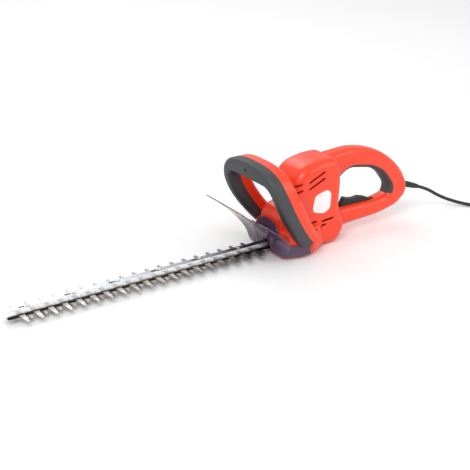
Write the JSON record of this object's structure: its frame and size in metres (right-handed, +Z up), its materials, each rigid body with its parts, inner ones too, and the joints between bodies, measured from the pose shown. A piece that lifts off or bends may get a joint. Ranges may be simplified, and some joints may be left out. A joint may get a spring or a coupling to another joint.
{
  "type": "hedge trimmer",
  "caption": "Corded electric hedge trimmer: double-edged reciprocating cutter, smoked hand guard, loop front handle with soft grip, D-shaped rear handle, short mains lead with plug",
  "frame": {"origin": "middle of the machine's bounding box on the resting surface, measured without the cord and plug", "axes": "+Z up, +X from the cutter tip toward the rear handle, +Y across the machine to its right side seen from the tip"},
  "size_m": [1.3343, 0.2211, 0.1955],
  "materials": {
    "housing_plastic": "satin moulded plastic",
    "grip_rubber": "soft matt grip",
    "black_plastic": "matt",
    "smoked_guard": "clear smoked plastic",
    "blade_steel": "ground steel",
    "bar_steel": "bright zinc-coated channel",
    "zinc_steel": "zinc plated",
    "cast_case": "die cast",
    "steel": "machined",
    "bronze": "sintered bronze",
    "laminations": "varnished laminations",
    "copper": "enamelled copper",
    "carbon": "carbon",
    "white_plastic": "gloss",
    "cord_rubber": "matt cord sheath",
    "brass_pin": "nickel on brass"
  },
  "bodies": {
    "machine": {"body_left": "housing_plastic", "body_right": "housing_plastic", "loop_shell_rear": "housing_plastic", "loop_grip_front": "grip_rubber", "soft_grip_strip": "grip_rubber", "trigger_pin": "steel", "rear_switch": "black_plastic", "loop_switch": "black_plastic", "capacitor": "white_plastic", "hand_guard": "smoked_guard", "guard_screws": "zinc_steel", "loop_screw": "zinc_steel", "body_screws": "zinc_steel", "badge_plates": "white_plastic", "guide_bar": "bar_steel", "cutter_screws": "zinc_steel", "cutter_nuts": "zinc_steel", "gear_case": "cast_case", "bottom_cover": "cast_case", "cover_screws": "zinc_steel", "bar_bolt": "zinc_steel", "crank_bushes": "bronze", "motor_bearings": "steel", "stator_core": "laminations", "field_coils": "copper", "brush_bracket": "black_plastic", "carbon_brushes": "carbon", "cord_sleeve": "cord_rubber", "mains_cord": "cord_rubber", "mains_plug": "cord_rubber", "plug_pins": "brass_pin"},
    "upper_blade": {"upper_blade": "blade_steel"},
    "lower_blade": {"lower_blade": "blade_steel"},
    "crank": {"crank_gear": "steel", "crank_shaft": "steel"},
    "rotor": {"motor_shaft": "steel", "fan": "black_plastic", "armature_core": "laminations", "armature_windings": "copper", "commutator": "copper"},
    "trigger": {"rear_trigger": "black_plastic"},
    "loop_bar": {"loop_switch_bar": "black_plastic"}
  },
  "joints": [
    {"name": "motor_spin", "type": "hinge", "parent": "machine", "child": "rotor", "pos_m": [0.18652, 0, 0.094], "axis": [0, 0, 1], "continuous": true},
    {"name": "crank_spin", "type": "hinge", "parent": "machine", "child": "crank", "pos_m": [0.15152, 0, 0.021], "axis": [0, 0, 1], "continuous": true},
    {"name": "upper_blade_slide", "type": "slide", "parent": "machine", "child": "upper_blade", "axis": [1, 0, 0], "range_m": [-0.00675, 0.00675]},
    {"name": "lower_blade_slide", "type": "slide", "parent": "machine", "child": "lower_blade", "axis": [1, 0, 0], "range_m": [-0.00675, 0.00675]},
    {"name": "trigger_squeeze", "type": "hinge", "parent": "machine", "child": "trigger", "pos_m": [0.33452, 0, 0.047], "axis": [0, -1, 0], "range_deg": [0, 8], "stiffness_Nm_per_rad": 1.5, "springref_deg": -5.73},
    {"name": "loop_bar_squeeze", "type": "slide", "parent": "machine", "child": "loop_bar", "axis": [0, 0, 1], "range_m": [0, 0.003], "stiffness_N_per_m": 600, "springref_m": -0.003}
  ],
  "couplings": [
    {"joint": "crank_spin", "follows": "motor_spin", "ratio": -0.16667},
    {"joint": "lower_blade_slide", "follows": "upper_blade_slide", "ratio": -1}
  ]
}
